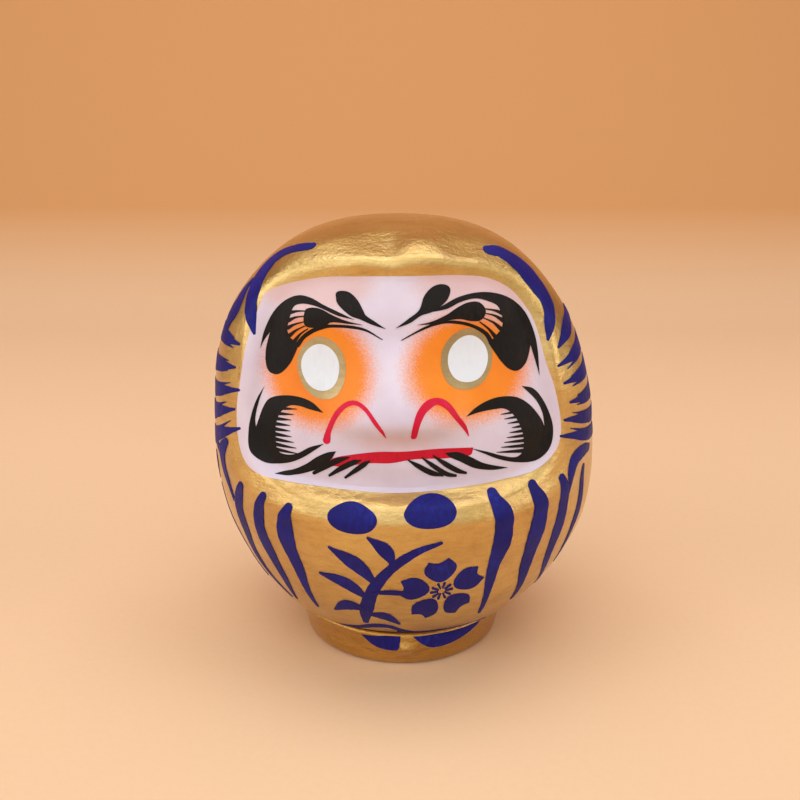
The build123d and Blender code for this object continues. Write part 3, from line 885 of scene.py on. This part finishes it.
def new_group(name, tones, *numbers):
    """Shader node group that takes tones and numbers. Returns its nodes, what it is given and its output node."""
    tree = bpy.data.node_groups.new(name, "ShaderNodeTree")
    for tone in tones:
        tree.interface.new_socket(tone, in_out="INPUT", socket_type="NodeSocketColor")
    for number in numbers:
        tree.interface.new_socket(number, in_out="INPUT", socket_type="NodeSocketFloat")
    for output, kind in GROUP_OUTPUTS:
        tree.interface.new_socket(output, in_out="OUTPUT", socket_type=kind)
    nodes = Nodes(tree)
    return nodes, nodes.add("NodeGroupInput").outputs, nodes.add("NodeGroupOutput")


def moulded_gold_group():
    """Lacquered gold powder over moulded paper: tone, roughness and bump height."""
    nodes, given, made = new_group("moulded gold", ("Bright", "Worn"))
    place = nodes.place()
    clouds = nodes.noise(place, 45.0, 5.0, 0.6)
    brush = nodes.noise(nodes.stretched(place, (1.0, 1.0, 3.2)), 210.0, 6.0, 0.65)
    powder = nodes.noise(place, 2600.0, 2.0, 0.6)
    paper = nodes.noise(place, 85.0, 8.0, 0.62)
    grain = nodes.noise(place, 780.0, 3.0, 0.6)
    worn = nodes.plus(nodes.spread(clouds, 0.4, 0.72, 0.0, 0.6), nodes.spread(brush, 0.45, 0.75, 0.0, 0.4))
    tone = nodes.mix(worn, given["Bright"], given["Worn"])
    speckles = nodes.spread(powder, 0.58, 0.72, 0.0, 0.35)
    rough = nodes.plus(nodes.spread(brush, 0.3, 0.7, 0.27, 0.38), nodes.spread(powder, 0.4, 0.7, 0.0, 0.09))
    fine = nodes.plus(nodes.times(grain, 0.16), nodes.times(powder, 0.08))
    dents = nodes.spread(nodes.noise(place, 26.0, 2.0, 0.5), 0.3, 0.7, 0.0, 1.6)
    coarse = nodes.plus(dents, nodes.times(brush, 0.35))
    height = nodes.plus(nodes.plus(paper, coarse), fine)
    nodes.feed(made, {"Colour": nodes.mix(speckles, tone, given["Worn"]), "Roughness": rough, "Height": height})
    return nodes.tree


def brushed_paint_group():
    """Paint put on with a brush: thick and thin places, roughness and bump height."""
    nodes, given, made = new_group("brushed paint", ("Thick", "Thin"))
    place = nodes.place()
    streaks = nodes.noise(nodes.stretched(place, (2.4, 2.4, 0.7)), 420.0, 5.0, 0.6)
    pools = nodes.noise(place, 95.0, 3.0, 0.5)
    thin = nodes.times(nodes.spread(streaks, 0.42, 0.7), nodes.spread(pools, 0.35, 0.7))
    nodes.feed(made, {
        "Colour": nodes.mix(thin, given["Thick"], given["Thin"]),
        "Roughness": nodes.spread(streaks, 0.3, 0.7, 0.46, 0.66),
        "Height": nodes.plus(streaks, nodes.times(pools, 0.5)),
    })
    return nodes.tree


def pasted_fibres_group():
    """Pasted paper or dried glue, with fibres and stains: colour, roughness and bump height."""
    nodes, given, made = new_group("pasted fibres", ("Light", "Dark"), "Fineness")
    place = nodes.place()
    fibres = nodes.noise(nodes.stretched(place, (1.0, 4.0, 1.0)), given["Fineness"], 6.0, 0.7)
    stains = nodes.noise(place, 70.0, 3.0, 0.5)
    share = nodes.times(nodes.spread(fibres, 0.3, 0.7), nodes.spread(stains, 0.2, 0.8, 0.4, 1.0))
    nodes.feed(made, {
        "Colour": nodes.mix(share, given["Light"], given["Dark"]),
        "Roughness": nodes.spread(fibres, 0.3, 0.7, 0.7, 0.95),
        "Height": fibres,
    })
    return nodes.tree


def new_material(name, settings):
    """Material with a Principled shader. Settings are constants on the shader's own sockets."""
    material = bpy.data.materials.new(name)
    material.use_nodes = True
    nodes = Nodes(material.node_tree)
    shader = material.node_tree.nodes["Principled BSDF"]
    nodes.feed(shader, settings)
    return material, nodes, shader


def grouped_material(name, group, inputs, settings, bump, depth):
    """Material whose colour, roughness and bump come from a group."""
    material, nodes, shader = new_material(name, settings)
    made = nodes.add("ShaderNodeGroup", inputs, node_tree=group).outputs
    normal = nodes.bump(made["Height"], bump, depth)
    nodes.feed(shader, {"Base Color": made["Colour"], "Roughness": made["Roughness"], "Normal": normal})
    return material


def gold_material(name, group, bright, worn, settings, bump, depth):
    """Gold powder paint in a bright tone and a worn tone."""
    tones = {"Bright": colour(*bright), "Worn": colour(*worn)}
    return grouped_material(name, group, tones, settings, bump, depth)


def brushed_material(name, group, thick, thin, bump=0.35):
    """Brushed paint in the tone where it is thick and the tone where it is thin."""
    tones = {"Thick": colour(*thick), "Thin": colour(*thin)}
    return grouped_material(name, group, tones, {"Specular IOR Level": 0.2}, bump, 0.0002)


def fibrous_material(name, group, light, dark, fineness=300.0):
    """Pasted paper or dried glue in a light tone and a dark tone."""
    inputs = {"Light": colour(*light), "Dark": colour(*dark), "Fineness": fineness}
    return grouped_material(name, group, inputs, {"Specular IOR Level": 0.25}, 0.4, 0.0003)


def soft_patch(nodes, place, middle, reach, grain):
    """Soft patch that breaks into speckles at its edge, used for airbrushed paint and for painted shade. Middle
    and reach are in metres.
    """
    offset = [-m / r for m, r in zip(middle, reach)]
    scale = [1 / r for r in reach]
    inputs = {"Vector": place, "Location": offset, "Scale": scale}
    local = nodes.add("ShaderNodeMapping", inputs).outputs["Vector"]
    distance = nodes.add("ShaderNodeVectorMath", {0: local}, operation="LENGTH").outputs["Value"]
    speckled = nodes.plus(distance, nodes.spread(grain, 0.3, 0.7, -0.14, 0.14))
    return nodes.spread(speckled, 0.80, 1.14, 1.0, 0.0)


def face_material():
    """Chalky white face, with orange airbrushed round the eyes, peach painted shade under the hood at the brow and
    a peach painted shadow under the nose, on the upper lip.
    """
    material, nodes, shader = new_material("face_white", {"Specular IOR Level": 0.35, "Coat Weight": 0.04})
    place = nodes.place()
    grain = nodes.noise(place, 3200.0, 3.0, 0.7)
    mottle = nodes.noise(place, 60.0, 4.0, 0.55)
    white = nodes.mix(nodes.spread(mottle, 0.3, 0.75), colour(220, 210, 223), colour(204, 190, 208))
    left_eye = soft_patch(nodes, place, (-0.0210, -0.040, 0.0875), (0.0140, 0.03, 0.0140), grain)
    right_eye = soft_patch(nodes, place, (0.0162, -0.040, 0.0885), (0.0158, 0.03, 0.0134), grain)
    orange = nodes.mix(nodes.spread(mottle, 0.3, 0.7), colour(240, 138, 24), colour(228, 118, 16))
    tinted = nodes.mix(nodes.maths("MAXIMUM", left_eye, right_eye), white, orange)
    # Peach painted shade under the hood at the top of the brow, and a peach painted shadow under the nose
    left_brow_shade = soft_patch(nodes, place, (-0.023, -0.034, 0.1085), (0.016, 0.03, 0.007), grain)
    right_brow_shade = soft_patch(nodes, place, (0.021, -0.034, 0.1085), (0.018, 0.03, 0.008), grain)
    nose_shadow = soft_patch(nodes, place, (-0.001, -0.048, 0.0705), (0.010, 0.03, 0.003), grain)
    brow = nodes.maths("MAXIMUM", left_brow_shade, right_brow_shade)
    # Share of the peach painted shade and painted shadow in the face colour
    peach = nodes.times(nodes.maths("MAXIMUM", brow, nodes.times(nose_shadow, 0.5)), 0.5)
    height = nodes.plus(nodes.times(mottle, 0.7), nodes.times(grain, 0.06))
    nodes.feed(shader, {
        # colour(218, 168, 150) is the peach of the painted shade and painted shadow
        "Base Color": nodes.mix(peach, tinted, colour(218, 168, 150)),
        "Roughness": nodes.spread(mottle, 0.3, 0.7, 0.42, 0.58),
        "Normal": nodes.bump(height, 0.35, 0.0012),
    })
    return material


def make_paints():
    """All the doll's materials, by name."""
    gold = moulded_gold_group()
    brushed = brushed_paint_group()
    fibres = pasted_fibres_group()
    lacquered = {"Metallic": 1.0, "Coat Weight": 0.7, "Coat Roughness": 0.3}
    bronzed = {"Metallic": 0.55}
    return {
        "gold": gold_material("gold_lacquer", gold, (215, 183, 112), (178, 133, 60), lacquered, 0.6, 0.0012),
        # The foot's gold is a darker copy of the body's gold: its darker tones are painted shade under the belly
        "foot": gold_material("gold_on_clay_shaded", gold, (200, 158, 78), (168, 120, 48), lacquered, 0.8, 0.0014),
        "ring": gold_material("dull_bronze", gold, (184, 160, 112), (138, 114, 74), bronzed, 0.5, 0.0003),
        "blue": brushed_material("ultramarine", brushed, (17, 14, 100), (28, 40, 152)),
        "black": brushed_material("lamp_black", brushed, (12, 8, 6), (38, 27, 20)),
        "red": brushed_material("vermilion", brushed, (190, 6, 34), (206, 26, 52)),
        "pink": brushed_material("crimson_pink", brushed, (204, 16, 56), (224, 54, 88)),
        "white": brushed_material("eye_white", brushed, (222, 229, 236), (214, 220, 228), 0.25),
        "face": face_material(),
        "paper": fibrous_material("pasted_paper", fibres, (214, 200, 170), (178, 158, 124)),
        "glue": fibrous_material("hide_glue", fibres, (150, 104, 52), (112, 70, 30), 160.0),
        "base": fibrous_material("base_paper", fibres, (206, 190, 156), (168, 146, 108)),
    }


def dress_node(node, material):
    """Material for a CAD node that shows as it is."""
    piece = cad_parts[node]
    piece.data.materials.clear()
    piece.data.materials.append(material)


# ---- floor, light and camera


FLOOR_COLOUR = colour(235, 199, 161)
# Darker tone of the upright paper: painted shade where the sweep rises away from the lights
SHADED_BACKDROP_COLOUR = colour(217, 159, 104)
SWEEP_START = 0.45  # the floor starts to curve up this far behind the doll, in metres
SWEEP_RADIUS = 0.5
SWEEP_STEPS = 12
FLOOR_FRONT, BACKDROP_TOP = -1.6, 2.6
BACKDROP_HALF_WIDTH = 2.5
ROOM_COLOUR = colour(255, 232, 210)
ROOM_STRENGTH = 0.2

# Lights: name, place, height aimed at, width and height in metres, power in watts and tint
LIGHTS = [
    ("overhead", (0.0, 0.0, 1.15), 0.06, (1.3, 0.75), 8.2, (0.98, 0.98, 1.0)),
    ("front_fill", (-0.35, -1.3, 0.75), 0.05, (2.6, 1.8), 14.0, (0.87, 0.92, 1.0)),
    ("high_front", (0.0, -0.85, 0.95), 0.06, (0.9, 0.25), 1.4, (1.0, 1.0, 0.98)),
    ("left_panel", (-1.0, -0.35, 0.45), 0.06, (0.7, 0.7), 3.6, (1.0, 0.98, 0.95)),
    ("right_panel", (1.0, -0.35, 0.45), 0.06, (0.7, 0.7), 3.6, (1.0, 0.98, 0.95)),
]

# The camera looks down at a point on the doll, in metres and degrees
LENS = 42.75
SENSOR_WIDTH = 36.0
AIM_X, AIM_Z = -0.0007, 0.0693
CAMERA_DISTANCE = 0.275
CAMERA_TILT = 15.5


def make_floor():
    """Pale peach paper that sweeps up behind the doll, with painted shade making it darker as it rises."""
    profile = [(FLOOR_FRONT, 0.0), (SWEEP_START, 0.0)]
    for step in range(1, SWEEP_STEPS + 1):
        turn = math.pi / 2 * step / SWEEP_STEPS
        y = SWEEP_START + SWEEP_RADIUS * math.sin(turn)
        profile.append((y, SWEEP_RADIUS - SWEEP_RADIUS * math.cos(turn)))
    profile.append((SWEEP_START + SWEEP_RADIUS, BACKDROP_TOP))
    vertices = [(x, y, z) for y, z in profile for x in (-BACKDROP_HALF_WIDTH, BACKDROP_HALF_WIDTH)]
    faces = [(2 * i, 2 * i + 1, 2 * i + 3, 2 * i + 2) for i in range(len(profile) - 1)]
    mesh = bpy.data.meshes.new("backdrop")
    mesh.from_pydata(vertices, [], faces)
    mesh.shade_smooth()
    material, nodes, shader = new_material("backdrop_paper", {"Specular IOR Level": 0.2})
    place = nodes.place()
    grain = nodes.noise(place, 500.0, 4.0, 0.6)
    up = nodes.add("ShaderNodeSeparateXYZ", {"Vector": place}).outputs["Z"]
    # Painted shade: the paper turns to the darker tone as it rises off the floor
    base = nodes.mix(nodes.spread(up, 0.004, 0.075), FLOOR_COLOUR, SHADED_BACKDROP_COLOUR)
    nodes.feed(shader, {
        "Base Color": nodes.mix(nodes.spread(grain, 0.4, 0.7, 0.0, 0.05), base, SHADED_BACKDROP_COLOUR),
        "Roughness": nodes.spread(grain, 0.3, 0.7, 0.75, 0.9),
    })
    mesh.materials.append(material)
    backdrop = new_object("backdrop", mesh)


def add_light(name, place, aim_z, size, power, tint):
    """Soft rectangular light aimed at the doll."""
    light = bpy.data.lights.new(name, "AREA")
    light.shape = "RECTANGLE"
    light.size, light.size_y = size
    light.energy = power
    light.color = tint
    lamp = new_object(name, light)
    lamp.location = place
    lamp.rotation_euler = (Vector((0, 0, aim_z)) - Vector(place)).to_track_quat("-Z", "Y").to_euler()


def light_room():
    """Large soft light overhead, weak fills and warm surroundings."""
    for light in LIGHTS:
        add_light(*light)
    world = bpy.data.worlds.new("warm_room")
    world.use_nodes = True
    Nodes(world.node_tree).feed(
        world.node_tree.nodes["Background"], {"Color": ROOM_COLOUR, "Strength": ROOM_STRENGTH})
    bpy.context.scene.world = world
    bpy.context.scene.view_settings.view_transform = "Standard"


def make_camera():
    """The camera, level from side to side and tilted down."""
    lens = bpy.data.cameras.new("camera")
    lens.lens = LENS
    lens.sensor_width = SENSOR_WIDTH
    lens.clip_start = 0.01
    camera = new_object("camera", lens)
    tilt = math.radians(CAMERA_TILT)
    camera.location = (AIM_X, -CAMERA_DISTANCE * math.cos(tilt), AIM_Z + CAMERA_DISTANCE * math.sin(tilt))
    camera.rotation_euler = (math.pi / 2 - tilt, 0, 0)
    bpy.context.scene.camera = camera


# ---- the doll and its setting

paint = make_paints()
make_body(paint["gold"])
make_foot(paint["foot"])
make_face_marks(paint)
make_blue_marks(paint["blue"])
for strip in ("seam_strip_left", "seam_strip_right", "seam_strip_crown"):
    dress_node(strip, paint["paper"])
dress_node("glue_ring", paint["glue"])
dress_node("base_paper", paint["base"])
make_floor()
light_room()
make_camera()
